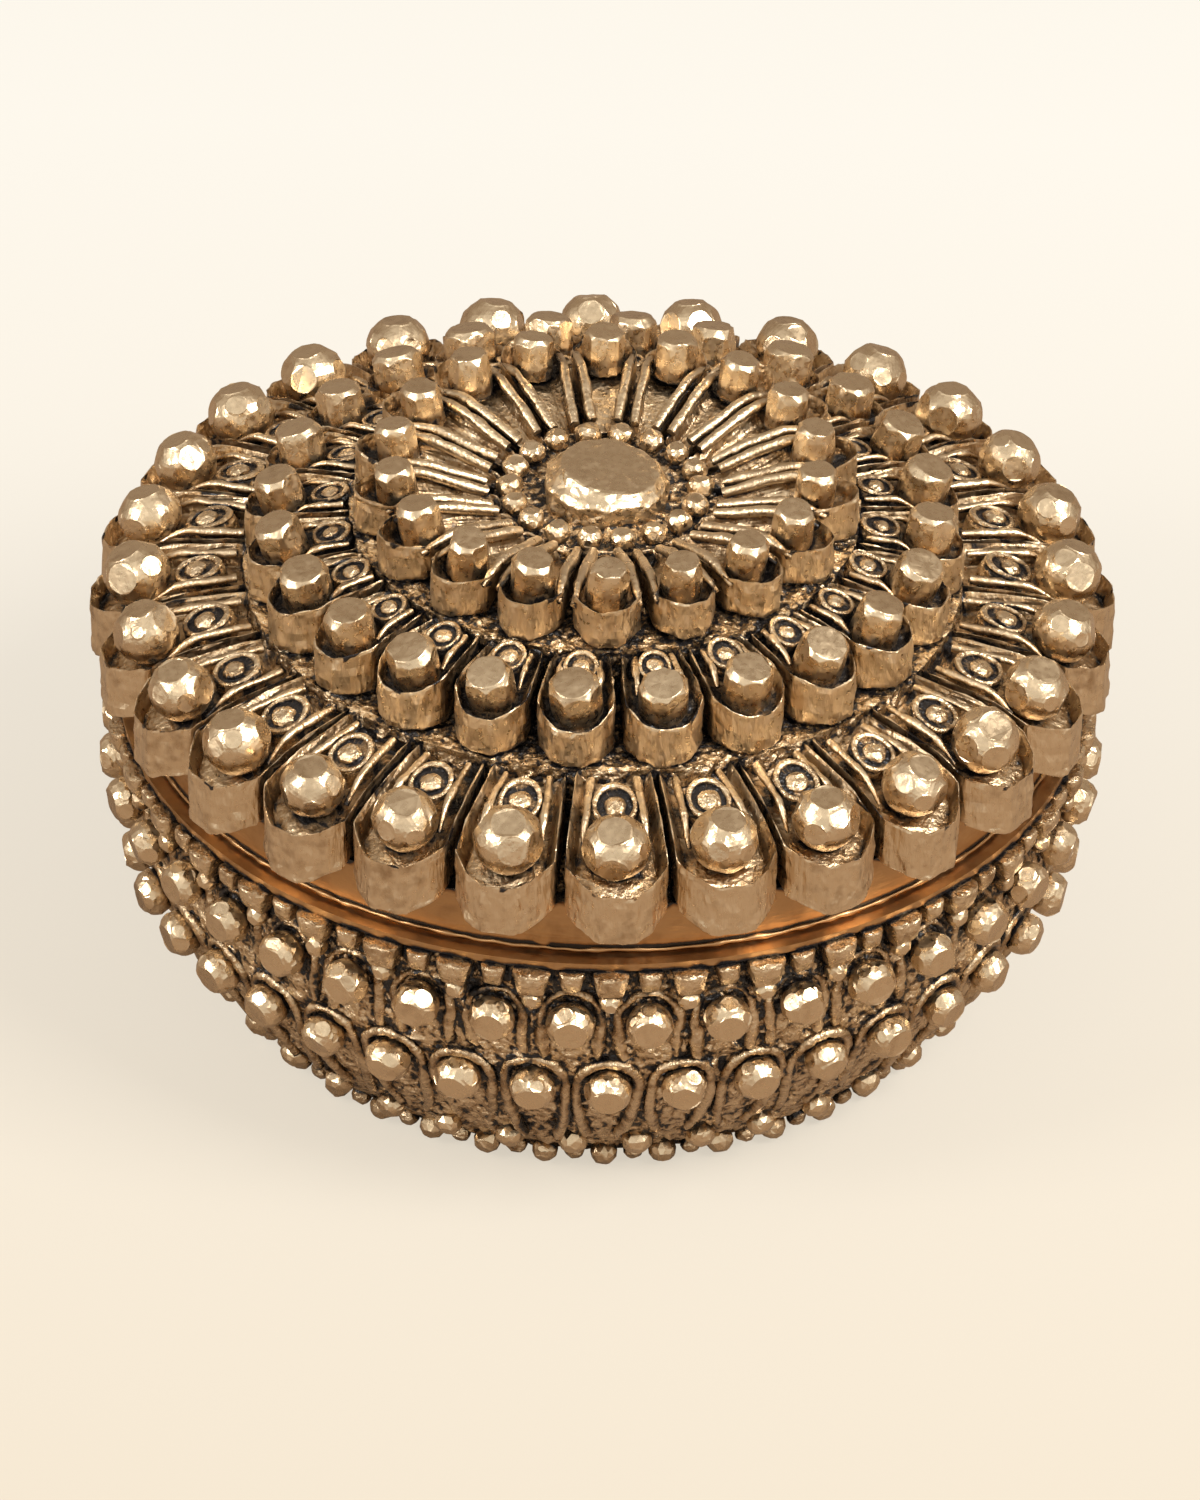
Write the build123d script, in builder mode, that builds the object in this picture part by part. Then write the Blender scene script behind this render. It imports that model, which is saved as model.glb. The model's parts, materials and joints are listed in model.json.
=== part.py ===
"""A round cast-brass kumkum box: a bowl and a lift-off lid, both set with petals, studs and beads.

Millimetres, +Z up, origin on the surface that the box stands on, on the box's axis.
Every ornament is made once, pointing along +X, and then copied round the axis.
"""

import os
from math import asin, atan2, cos, pi, sin, sqrt, tan

from build123d import *

os.makedirs("parts", exist_ok=True)

# Fits
braze_gap = 0.05  # film of braze between an ornament and what carries it
row_gap = 0.15  # between one row of ornament and the next
ring_fit = 0.05  # radial clearance where a turned ring drops into its seat
lid_clearance = 0.25  # radial clearance of the lid's spigot in the bowl
step_gap = 0.3  # between a petal's root and the step behind it

# Lid dome: three flat steps over a rounded hollow, from the centre outwards
hub_radius = 11.0
hub_rise = 1.5
inner_tier_width = 14.2
inner_step_rise = 6.7
middle_tier_width = 10.4
outer_step_rise = 7.8
outer_tier_width = 10.9
hollow_margin = 9.9  # flat ring under the dome, outside its hollow
hollow_rise = 15.5

# Lid skirt ring: the smooth band, with the spigot that centres the lid
skirt_height = 5.7
spigot_depth = 4.5
spigot_wall = 1.6
seam_chamfer = 0.3
flange_seat_width = 1.6
dome_flange = 2.0  # thickness of the dome's outer flange

# Bowl shell
skirt_setback = 0.7  # how far the lid's band stands inside the bowl's widest wall
widest_height = 28.0
wall_drop = 13.0  # how much smaller the foot's radius is than the widest radius
wall_thickness = 2.6
floor_thickness = 2.6
shell_top = 32.4
wall_bands = 8  # the wall is turned in straight bands, one above another

# Bowl rim ring: a flat flange on the shell, and a lip inside its bore
rim_flange = 0.9
rim_overhang = 1.0
rim_lip_depth = 4.1
rim_lip_wall = 1.65

# Petals: what all three tiers share
petal_groove = 0.7  # open groove between neighbouring petals
tip_front_share = 0.30  # half-width of the filed front face, as a share of the petal's
tip_corner_share = 0.68
tip_corner_depth = 1.1
tip_side_depth = 3.4

# Outer tier of the lid
outer_count = 28
outer_phase = -87.8
outer_overhang = 4.3  # how far the petals stand out beyond the band
outer_rib = 1.1
outer_rim_root = 8.9
outer_rim_tip = 4.2
outer_rim_bow = 0.9
outer_floor_root = 7.6
outer_floor_tip = 2.4
outer_stud_inset = 5.2  # from the petal's tip to the stud's foot
outer_stud_radius = 3.2
outer_stud_centre = 3.0
outer_eyelet_inset = 10.4
outer_eyelet_radius = 2.3
outer_eyelet_bore = 1.5
outer_eyelet_height = 2.2
outer_pip_radius = 1.1
outer_pip_height = 2.0

# Middle tier of the lid
middle_count = 24
middle_phase = -94.2
middle_overhang = 0.1
middle_rib = 0.8
middle_rim_root = 7.5
middle_rim_tip = 4.9
middle_rim_bow = 0.5
middle_floor_root = 6.3
middle_floor_tip = 3.4
middle_stud_inset = 4.1
middle_stud_radius = 2.35
middle_stud_height = 4.2
middle_eyelet_inset = 8.4
middle_eyelet_radius = 1.75
middle_eyelet_bore = 1.15
middle_eyelet_height = 1.8
middle_pip_radius = 0.8
middle_pip_height = 1.6

# Inner tier of the lid: it dips towards the centre
inner_count = 18
inner_phase = -88.9
inner_overhang = -0.1
inner_rib = 0.9
inner_rim_root = 2.3
inner_rim_tip = 5.1
inner_rim_bow = 0.8
inner_floor_root = 1.6
inner_floor_bend_inset = 6.9  # from the petal's tip to where the trough starts to dip
inner_floor_high = 4.1
inner_floor_tip = 3.6
inner_stud_inset = 4.3
inner_stud_radius = 1.95
inner_stud_height = 3.7

# Centre of the lid
collar_inset = 1.5  # from the hub's edge to the beads
collar_bead_radius = 1.25
collar_bead_centre = 0.95
boss_radius = 6.3
boss_top_radius = 4.7
boss_height = 3.5

# Small pieces
ball_flat = 0.9  # height of a ball's flat top over its centre, as a share of its radius
button_bevel = 0.6
eyelet_bevel = 0.2
pip_bevel = 0.4
boss_bevel_height = 2.2

# Bowl ornament, forty of each
bowl_count = 40
tooth_phase = -88.2  # big teeth, beads and lower studs share this line
bowl_pitch = 360 / bowl_count
stud_phase = tooth_phase + bowl_pitch / 2

big_tooth_width = 3.3
big_tooth_height = 2.3
big_tooth_rise = 2.7
small_tooth_width = 2.4
small_tooth_height = 2.0
small_tooth_rise = 1.9
tooth_taper = 0.62  # lower width over upper width

bead_radius = 1.2
bead_centre = 0.85

upper_stud_drop = 6.3  # below the shell's top
upper_stud_radius = 2.3
upper_stud_centre = 1.4
upper_arch_gap = 0.1  # between a stud and the wire over it
upper_leg_spread = 2.3  # half the distance between the legs' lower ends
upper_leg_gap = 0.4  # above the lower arches

lower_stud_drop = 9.1  # below the upper studs
lower_stud_radius = 2.25
lower_stud_centre = 1.35
lower_arch_gap = 0.3
lower_leg_spread = 1.9
lower_leg_gap = 0.6  # above the foot beads

arch_wire = 0.8
arch_rise = 1.3

foot_bead_height = 5.6
foot_bead_radius = 1.2
foot_bead_centre = 0.5
base_bead_height = 1.75
base_bead_radius = 1.35
base_bead_centre = 0.75
foot_block_width = 1.9
foot_block_top = 3.1
foot_block_bottom = 0.5
foot_block_rise = 1.2

# Worked out from the sizes above
inner_step_radius = hub_radius + inner_tier_width
outer_step_radius = inner_step_radius + middle_tier_width
skirt_radius = outer_step_radius + outer_tier_width
bowl_radius = skirt_radius + skirt_setback  # widest radius of the wall under its ornament
foot_radius = bowl_radius - wall_drop
rim_radius = bowl_radius + rim_overhang
rim_lip_radius = bowl_radius - wall_thickness - ring_fit
rim_bore = rim_lip_radius - rim_lip_wall
rim_lip_bottom = shell_top - rim_lip_depth
seam_height = shell_top + rim_flange  # where the lid and the bowl meet
spigot_radius = rim_bore - lid_clearance
hollow_radius = skirt_radius - hollow_margin
outer_seat = seam_height + skirt_height
middle_seat = outer_seat + outer_step_rise
inner_seat = middle_seat + inner_step_rise
hub_top = inner_seat + hub_rise

outer_root = outer_step_radius + step_gap
outer_tip = skirt_radius + outer_overhang
outer_stud_place = outer_tip - outer_stud_inset
outer_eyelet_place = outer_tip - outer_eyelet_inset
middle_root = inner_step_radius + step_gap
middle_tip = outer_step_radius + middle_overhang
middle_stud_place = middle_tip - middle_stud_inset
middle_eyelet_place = middle_tip - middle_eyelet_inset
inner_root = hub_radius + step_gap
inner_tip = inner_step_radius + inner_overhang
inner_floor_bend = inner_tip - inner_floor_bend_inset
inner_stud_place = inner_tip - inner_stud_inset
collar_place = hub_radius - collar_inset

upper_arch_radius = upper_stud_radius + upper_arch_gap + arch_wire / 2
lower_arch_radius = lower_stud_radius + lower_arch_gap + arch_wire / 2
tooth_top = shell_top - row_gap
bead_height = tooth_top - big_tooth_height - row_gap - bead_radius
upper_stud_place = shell_top - upper_stud_drop
lower_stud_place = upper_stud_place - lower_stud_drop
upper_leg_bottom = lower_stud_place + lower_arch_radius + arch_wire / 2 + upper_leg_gap
lower_leg_bottom = foot_bead_height + foot_bead_radius + lower_leg_gap

wall_curve = (widest_height**2 + wall_drop**2) / (2 * wall_drop)
band_heights = [shell_top * band / wall_bands for band in range(wall_bands + 1)]
tall = 2 * hub_top  # above everything, for cutting tools
far = 2 * rim_radius  # outside everything, for cutting tools


def wall_radius(height, offset=0.0):
    """Radius of the bowl's outer wall at a height, moved out by an offset."""
    return bowl_radius - wall_curve + sqrt((wall_curve + offset) ** 2 - (height - widest_height) ** 2)


def wall_points(offset):
    """Corners of the wall's bands, from the foot up, moved out by an offset."""
    return [(wall_radius(height, offset), height) for height in band_heights]


def wall_slab(inner, outer):
    """A slab in front of the wall at +X, between two offsets from the wall."""
    with BuildPart() as slab:
        with BuildSketch(Plane.XZ):
            Polygon(*wall_points(inner), *reversed(wall_points(outer)), align=None)
        extrude(amount=bowl_radius / 4, both=True)
    return slab.part


def wall_plane(height):
    """The plane that a stud or a bead stands on, against the wall at +X."""
    lean = asin((widest_height - height) / wall_curve)
    outwards = Vector(cos(lean), 0, -sin(lean))
    place = Vector(wall_radius(height), 0, height) + outwards * braze_gap
    return Plane(origin=place, x_dir=(0, 1, 0), z_dir=outwards)


def petal_half_width(radius, count):
    """Half the width of one petal at a radius, with the groove left open."""
    return radius * tan(pi / count) - petal_groove / 2


def below_arc(start, middle, end, bottom):
    """Everything in the radial plane below an arc, drawn out sideways."""
    with BuildPart() as block:
        with BuildSketch(Plane.XZ):
            with BuildLine():
                ThreePointArc(start, middle, end)
                Polyline(end, (end[0], bottom), (start[0], bottom), start)
            make_face()
        extrude(amount=far / 2, both=True)
    return block.part


def petal_outline(count, root, tip, inset):
    """Corners of a petal seen from above, drawn in by an inset everywhere but at its root."""
    neck = tip - tip_side_depth
    full = petal_half_width(neck, count)
    side = [
        (root, petal_half_width(root, count) - inset),
        (neck, full - inset),
        (tip - tip_corner_depth - inset / 2, tip_corner_share * full - inset / 2),
        (tip - inset, tip_front_share * full),
    ]
    return side + [(x, -y) for x, y in reversed(side)]


def petal(count, root, tip, rib, seat, rim_root, rim_tip, rim_bow, floor):
    """One petal: a filed, faceted tip, a bowed rim and a sloping trough that is open at its root."""
    rim_middle = ((root + tip) / 2, seat + (rim_root + rim_tip) / 2 + rim_bow)
    with BuildPart() as trough:
        with BuildSketch(Plane.XY.offset(seat)):
            Polygon(*petal_outline(count, root, tip, rib), align=None)
        extrude(amount=tall - seat)
        with BuildSketch(Plane.XZ):
            Polygon((root, seat), *floor, (tip, seat), align=None)
        extrude(amount=far / 2, both=True, mode=Mode.SUBTRACT)
    with BuildPart() as body:
        with BuildSketch(Plane.XY.offset(seat)):
            Polygon(*petal_outline(count, root, tip, 0), align=None)
        extrude(amount=tall - seat)
        rim = below_arc((root, seat + rim_root), rim_middle, (tip, seat + rim_tip), seat)
        add(rim, mode=Mode.INTERSECT)
        add(trough.part, mode=Mode.SUBTRACT)
    return body.part


def floor_plane(place, floor):
    """The plane that a stud or an eyelet stands on, on the outer stretch of a petal's floor."""
    inboard, outboard = floor[-2:]
    slope = atan2(inboard[1] - outboard[1], outboard[0] - inboard[0])
    height = outboard[1] + (outboard[0] - place) * tan(slope)
    lift = Vector(sin(slope), 0, cos(slope))
    return Plane(
        origin=Vector(place, 0, height) + lift * braze_gap,
        x_dir=(cos(slope), 0, -sin(slope)),
        z_dir=lift,
    )


def ball(plane, radius, centre):
    """A hammered ball with a flat foot and a small flat top, its centre above the foot."""
    with BuildPart() as nugget:
        with Locations((0, 0, centre)):
            Sphere(radius)
        split(bisect_by=Plane.XY, keep=Keep.TOP)
        split(bisect_by=Plane.XY.offset(centre + ball_flat * radius), keep=Keep.BOTTOM)
    return plane.from_local_coords(nugget.part)


def button(plane, radius, height, bevel):
    """A short round post with a bevelled flat top."""
    with BuildPart() as post:
        Cylinder(radius, height, align=(Align.CENTER, Align.CENTER, Align.MIN))
        chamfer(post.faces().sort_by(Axis.Z)[-1].edges(), bevel)
    return plane.from_local_coords(post.part)


def eyelet(plane, radius, bore, height):
    """A raised ring with bevelled edges."""
    with BuildPart() as ring:
        with BuildSketch():
            Circle(radius)
            Circle(bore, mode=Mode.SUBTRACT)
        extrude(amount=height)
        chamfer(ring.faces().sort_by(Axis.Z)[-1].edges(), eyelet_bevel)
    return plane.from_local_coords(ring.part)


def wall_shield(top, height, upper_width, lower_width, rise):
    """A tapered tooth or block that stands out from the bowl's wall."""
    with BuildPart() as shield:
        with BuildSketch(Plane.YZ):
            Polygon(
                (-upper_width / 2, top),
                (-lower_width / 2, top - height),
                (lower_width / 2, top - height),
                (upper_width / 2, top),
                align=None,
            )
        extrude(amount=far)
        add(wall_slab(braze_gap, rise), mode=Mode.INTERSECT)
    return shield.part


def arch(height, radius, spread, bottom):
    """A wire bent over a stud, whose legs draw together as they run down the wall."""
    drop = height - bottom
    lean = atan2(radius - spread, drop)
    outer = radius + arch_wire / 2
    inner = radius - arch_wire / 2
    step = arch_wire / 2 / cos(lean)
    with BuildPart() as wire:
        with BuildSketch(Plane.YZ):
            with Locations((0, height)):
                Circle(outer)
            Polygon(
                (-outer, height),
                (-spread - step, bottom),
                (spread + step, bottom),
                (outer, height),
                align=None,
            )
            with Locations((0, height)):
                Circle(inner, mode=Mode.SUBTRACT)
            Polygon(
                (-inner, height),
                (-spread + step, bottom),
                (spread - step, bottom),
                (inner, height),
                align=None,
                mode=Mode.SUBTRACT,
            )
        extrude(amount=far)
        add(wall_slab(braze_gap, arch_rise), mode=Mode.INTERSECT)
    return wire.part


# Bowl shell: a cast wall of even thickness with a flat floor and a straight bore at the top
inner_bands = [height for height in band_heights if floor_thickness < height < widest_height]
inner_wall = [(wall_radius(height, -wall_thickness), height) for height in reversed(inner_bands)]
with BuildPart() as bowl_shell:
    with BuildSketch(Plane.XZ):
        Polygon(
            (0, 0),
            *wall_points(0),
            (bowl_radius - wall_thickness, shell_top),
            (bowl_radius - wall_thickness, widest_height),
            *inner_wall,
            (wall_radius(floor_thickness, -wall_thickness), floor_thickness),
            (0, floor_thickness),
            align=None,
        )
    revolve(axis=Axis.Z)
bowl_shell.part.label = "bowl_shell"
export_step(bowl_shell.part, "parts/bowl_shell.step")

# Bowl rim ring: the lid rests on its flange, and its lip drops into the shell's bore
with BuildPart() as bowl_rim_ring:
    with BuildSketch(Plane.XZ):
        Polygon(
            (rim_bore, rim_lip_bottom),
            (rim_lip_radius, rim_lip_bottom),
            (rim_lip_radius, shell_top),
            (rim_radius, shell_top),
            (rim_radius, seam_height),
            (rim_bore, seam_height),
            align=None,
        )
    revolve(axis=Axis.Z)
bowl_rim_ring.part.label = "bowl_rim_ring"
export_step(bowl_rim_ring.part, "parts/bowl_rim_ring.step")

# Teeth under the rim: a big and a small one in turn
with BuildPart() as rim_teeth_big:
    with PolarLocations(0, bowl_count, start_angle=tooth_phase):
        add(
            wall_shield(
                tooth_top,
                big_tooth_height,
                big_tooth_width,
                big_tooth_width * tooth_taper,
                big_tooth_rise,
            )
        )
rim_teeth_big.part.label = "rim_teeth_big"
export_step(rim_teeth_big.part, "parts/rim_teeth_big.step")

with BuildPart() as rim_teeth_small:
    with PolarLocations(0, bowl_count, start_angle=stud_phase):
        add(
            wall_shield(
                tooth_top,
                small_tooth_height,
                small_tooth_width,
                small_tooth_width * tooth_taper,
                small_tooth_rise,
            )
        )
rim_teeth_small.part.label = "rim_teeth_small"
export_step(rim_teeth_small.part, "parts/rim_teeth_small.step")

with BuildPart() as upper_beads:
    with PolarLocations(0, bowl_count, start_angle=tooth_phase):
        add(ball(wall_plane(bead_height), bead_radius, bead_centre))
upper_beads.part.label = "upper_beads"
export_step(upper_beads.part, "parts/upper_beads.step")

# Upper and lower rows of studs, each stud under its own arch of wire
with BuildPart() as upper_studs:
    with PolarLocations(0, bowl_count, start_angle=stud_phase):
        add(ball(wall_plane(upper_stud_place), upper_stud_radius, upper_stud_centre))
upper_studs.part.label = "upper_studs"
export_step(upper_studs.part, "parts/upper_studs.step")

with BuildPart() as upper_arches:
    with PolarLocations(0, bowl_count, start_angle=stud_phase):
        add(arch(upper_stud_place, upper_arch_radius, upper_leg_spread, upper_leg_bottom))
upper_arches.part.label = "upper_arches"
export_step(upper_arches.part, "parts/upper_arches.step")

with BuildPart() as lower_studs:
    with PolarLocations(0, bowl_count, start_angle=tooth_phase):
        add(ball(wall_plane(lower_stud_place), lower_stud_radius, lower_stud_centre))
lower_studs.part.label = "lower_studs"
export_step(lower_studs.part, "parts/lower_studs.step")

with BuildPart() as lower_arches:
    with PolarLocations(0, bowl_count, start_angle=tooth_phase):
        add(arch(lower_stud_place, lower_arch_radius, lower_leg_spread, lower_leg_bottom))
lower_arches.part.label = "lower_arches"
export_step(lower_arches.part, "parts/lower_arches.step")

# Two rows of beads round the foot, with blocks between the lower ones
with BuildPart() as foot_beads:
    with PolarLocations(0, bowl_count, start_angle=stud_phase):
        add(ball(wall_plane(foot_bead_height), foot_bead_radius, foot_bead_centre))
foot_beads.part.label = "foot_beads"
export_step(foot_beads.part, "parts/foot_beads.step")

with BuildPart() as base_beads:
    with PolarLocations(0, bowl_count, start_angle=tooth_phase):
        add(ball(wall_plane(base_bead_height), base_bead_radius, base_bead_centre))
base_beads.part.label = "base_beads"
export_step(base_beads.part, "parts/base_beads.step")

with BuildPart() as foot_blocks:
    with PolarLocations(0, bowl_count, start_angle=stud_phase):
        add(
            wall_shield(
                foot_block_top,
                foot_block_top - foot_block_bottom,
                foot_block_width,
                foot_block_width,
                foot_block_rise,
            )
        )
foot_blocks.part.label = "foot_blocks"
export_step(foot_blocks.part, "parts/foot_blocks.step")

# Lid skirt ring: the smooth band above the seam, with a rebate for the dome and a spigot below
flange_bottom = outer_seat - dome_flange
flange_seat_radius = skirt_radius - flange_seat_width
spigot_bore = spigot_radius - spigot_wall
with BuildPart() as lid_skirt_ring:
    with BuildSketch(Plane.XZ):
        Polygon(
            (spigot_bore, seam_height - spigot_depth),
            (spigot_radius, seam_height - spigot_depth),
            (spigot_radius, seam_height),
            (skirt_radius - seam_chamfer, seam_height),
            (skirt_radius, seam_height + seam_chamfer),
            (skirt_radius, outer_seat),
            (flange_seat_radius, outer_seat),
            (flange_seat_radius, flange_bottom),
            (spigot_bore, flange_bottom),
            align=None,
        )
    revolve(axis=Axis.Z)
lid_skirt_ring.part.label = "lid_skirt_ring"
export_step(lid_skirt_ring.part, "parts/lid_skirt_ring.step")

# Lid dome: the stepped plate that carries the petals, rounded underneath
hollow_top = flange_bottom + hollow_rise
hollow_curve = (hollow_radius**2 + hollow_rise**2) / (2 * hollow_rise)
hollow_middle = hollow_radius / 2
hollow_middle_height = hollow_top - hollow_curve + sqrt(hollow_curve**2 - hollow_middle**2)
with BuildPart() as lid_dome:
    with BuildSketch(Plane.XZ):
        with BuildLine():
            Polyline(
                (0, hollow_top),
                (0, hub_top),
                (hub_radius, hub_top),
                (hub_radius, inner_seat),
                (inner_step_radius, inner_seat),
                (inner_step_radius, middle_seat),
                (outer_step_radius, middle_seat),
                (outer_step_radius, outer_seat),
                (flange_seat_radius - ring_fit, outer_seat),
                (flange_seat_radius - ring_fit, flange_bottom),
                (hollow_radius, flange_bottom),
            )
            ThreePointArc(
                (hollow_radius, flange_bottom),
                (hollow_middle, hollow_middle_height),
                (0, hollow_top),
            )
        make_face()
    revolve(axis=Axis.Z)
lid_dome.part.label = "lid_dome"
export_step(lid_dome.part, "parts/lid_dome.step")

# Outer tier
outer_deck = outer_seat + braze_gap
outer_floor = [
    (outer_root, outer_deck + outer_floor_root),
    (outer_tip, outer_deck + outer_floor_tip),
]
with BuildPart() as outer_petals:
    with PolarLocations(0, outer_count, start_angle=outer_phase):
        add(
            petal(
                outer_count,
                outer_root,
                outer_tip,
                outer_rib,
                outer_deck,
                outer_rim_root,
                outer_rim_tip,
                outer_rim_bow,
                outer_floor,
            )
        )
outer_petals.part.label = "outer_petals"
export_step(outer_petals.part, "parts/outer_petals.step")

outer_stud_plane = floor_plane(outer_stud_place, outer_floor)
with BuildPart() as outer_studs:
    with PolarLocations(0, outer_count, start_angle=outer_phase):
        add(ball(outer_stud_plane, outer_stud_radius, outer_stud_centre))
outer_studs.part.label = "outer_studs"
export_step(outer_studs.part, "parts/outer_studs.step")

outer_eyelet_plane = floor_plane(outer_eyelet_place, outer_floor)
with BuildPart() as outer_eyelets:
    with PolarLocations(0, outer_count, start_angle=outer_phase):
        add(eyelet(outer_eyelet_plane, outer_eyelet_radius, outer_eyelet_bore, outer_eyelet_height))
outer_eyelets.part.label = "outer_eyelets"
export_step(outer_eyelets.part, "parts/outer_eyelets.step")

with BuildPart() as outer_pips:
    with PolarLocations(0, outer_count, start_angle=outer_phase):
        add(button(outer_eyelet_plane, outer_pip_radius, outer_pip_height, pip_bevel))
outer_pips.part.label = "outer_pips"
export_step(outer_pips.part, "parts/outer_pips.step")

# Middle tier
middle_deck = middle_seat + braze_gap
middle_floor = [
    (middle_root, middle_deck + middle_floor_root),
    (middle_tip, middle_deck + middle_floor_tip),
]
with BuildPart() as middle_petals:
    with PolarLocations(0, middle_count, start_angle=middle_phase):
        add(
            petal(
                middle_count,
                middle_root,
                middle_tip,
                middle_rib,
                middle_deck,
                middle_rim_root,
                middle_rim_tip,
                middle_rim_bow,
                middle_floor,
            )
        )
middle_petals.part.label = "middle_petals"
export_step(middle_petals.part, "parts/middle_petals.step")

middle_stud_plane = floor_plane(middle_stud_place, middle_floor)
with BuildPart() as middle_studs:
    with PolarLocations(0, middle_count, start_angle=middle_phase):
        add(button(middle_stud_plane, middle_stud_radius, middle_stud_height, button_bevel))
middle_studs.part.label = "middle_studs"
export_step(middle_studs.part, "parts/middle_studs.step")

middle_eyelet_plane = floor_plane(middle_eyelet_place, middle_floor)
with BuildPart() as middle_eyelets:
    with PolarLocations(0, middle_count, start_angle=middle_phase):
        add(
            eyelet(
                middle_eyelet_plane,
                middle_eyelet_radius,
                middle_eyelet_bore,
                middle_eyelet_height,
            )
        )
middle_eyelets.part.label = "middle_eyelets"
export_step(middle_eyelets.part, "parts/middle_eyelets.step")

with BuildPart() as middle_pips:
    with PolarLocations(0, middle_count, start_angle=middle_phase):
        add(button(middle_eyelet_plane, middle_pip_radius, middle_pip_height, pip_bevel))
middle_pips.part.label = "middle_pips"
export_step(middle_pips.part, "parts/middle_pips.step")

# Inner tier: long petals without eyelets
inner_deck = inner_seat + braze_gap
inner_floor = [
    (inner_root, inner_deck + inner_floor_root),
    (inner_floor_bend, inner_deck + inner_floor_high),
    (inner_tip, inner_deck + inner_floor_tip),
]
with BuildPart() as inner_petals:
    with PolarLocations(0, inner_count, start_angle=inner_phase):
        add(
            petal(
                inner_count,
                inner_root,
                inner_tip,
                inner_rib,
                inner_deck,
                inner_rim_root,
                inner_rim_tip,
                inner_rim_bow,
                inner_floor,
            )
        )
inner_petals.part.label = "inner_petals"
export_step(inner_petals.part, "parts/inner_petals.step")

inner_stud_plane = floor_plane(inner_stud_place, inner_floor)
with BuildPart() as inner_studs:
    with PolarLocations(0, inner_count, start_angle=inner_phase):
        add(button(inner_stud_plane, inner_stud_radius, inner_stud_height, button_bevel))
inner_studs.part.label = "inner_studs"
export_step(inner_studs.part, "parts/inner_studs.step")

# Centre: a collar of beads round a flat-topped boss
hub_plane = Plane.XY.offset(hub_top + braze_gap)
collar_plane = hub_plane.shift_origin(Vector(collar_place, 0, hub_top + braze_gap))
with BuildPart() as collar_beads:
    with PolarLocations(0, inner_count, start_angle=inner_phase + 180 / inner_count):
        add(ball(collar_plane, collar_bead_radius, collar_bead_centre))
collar_beads.part.label = "collar_beads"
export_step(collar_beads.part, "parts/collar_beads.step")

boss_foot = hub_top + braze_gap
boss_shoulder = boss_foot + boss_height - boss_bevel_height
with BuildPart() as centre_boss:
    with BuildSketch(Plane.XZ):
        Polygon(
            (0, boss_foot),
            (boss_radius, boss_foot),
            (boss_radius, boss_shoulder),
            (boss_top_radius, boss_foot + boss_height),
            (0, boss_foot + boss_height),
            align=None,
        )
    revolve(axis=Axis.Z)
centre_boss.part.label = "centre_boss"
export_step(centre_boss.part, "parts/centre_boss.step")
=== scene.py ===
"""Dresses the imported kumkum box: hand-chased brass ornament on a cast bowl and a lift-off lid.

Everything is in metres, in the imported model's own frame: +Z up along the box's axis,
with the foot's flat on z = 0. Ornaments are modelled once, pointing along +X on the ring
that carries them, and then copied round the axis, each copy worn in its own way.
"""

import json
import logging
import math
import random
from collections.abc import Callable, Iterator, Sequence
from contextlib import contextmanager
from dataclasses import dataclass
from enum import Enum
from typing import Protocol

import bmesh
import bpy
from mathutils import Matrix, Vector
from mathutils.bvhtree import BVHTree


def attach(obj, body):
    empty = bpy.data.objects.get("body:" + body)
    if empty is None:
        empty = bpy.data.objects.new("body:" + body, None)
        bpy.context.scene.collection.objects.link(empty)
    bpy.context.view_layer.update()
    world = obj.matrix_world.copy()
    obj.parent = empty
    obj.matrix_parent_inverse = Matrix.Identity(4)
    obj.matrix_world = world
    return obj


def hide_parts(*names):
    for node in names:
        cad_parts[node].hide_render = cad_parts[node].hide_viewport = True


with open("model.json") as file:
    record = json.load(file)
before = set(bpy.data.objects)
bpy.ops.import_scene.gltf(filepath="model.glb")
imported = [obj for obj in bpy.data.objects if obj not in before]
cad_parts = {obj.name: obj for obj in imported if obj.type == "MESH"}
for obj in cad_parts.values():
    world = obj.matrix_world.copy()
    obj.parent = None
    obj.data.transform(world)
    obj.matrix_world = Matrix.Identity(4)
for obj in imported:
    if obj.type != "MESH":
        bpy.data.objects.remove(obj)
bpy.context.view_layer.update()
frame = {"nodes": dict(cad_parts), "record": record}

logging.basicConfig(level=logging.INFO, format="%(name)s: %(message)s")
log = logging.getLogger("kumkum_box")

MM = 0.001
CUT_TOLERANCE = 0.000001
WELD_DISTANCE = 0.00001
Point = tuple[float, float, float]
Colour = tuple[float, float, float]
FaceTest = Callable[[Vector, Vector], bool]


def rgba(colour: Colour) -> tuple[float, float, float, float]:
    """Gives a colour its alpha."""
    return (*colour, 1.0)


@contextmanager
def editing(piece: bpy.types.Object) -> Iterator[None]:
    """Opens a piece in edit mode with all its faces selected, and closes it again.

    Args:
        piece: The piece to edit.
    """
    bpy.ops.object.select_all(action="DESELECT")
    piece.select_set(True)
    bpy.context.view_layer.objects.active = piece
    bpy.ops.object.mode_set(mode="EDIT")
    bpy.ops.mesh.select_mode(type="FACE")
    bpy.ops.mesh.select_all(action="SELECT")
    yield
    bpy.ops.object.mode_set(mode="OBJECT")


def pick(piece: bpy.types.Object, test: FaceTest) -> None:
    """Selects, of a piece in edit mode, only the faces that pass a test.

    Args:
        piece: The piece that is being edited.
        test: Says of a face's centre and normal whether it is wanted.
    """
    bpy.ops.mesh.select_all(action="DESELECT")
    shape = bmesh.from_edit_mesh(piece.data)
    for face in shape.faces:
        face.select_set(test(face.calc_center_median(), face.normal))
    bmesh.update_edit_mesh(piece.data)


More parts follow.
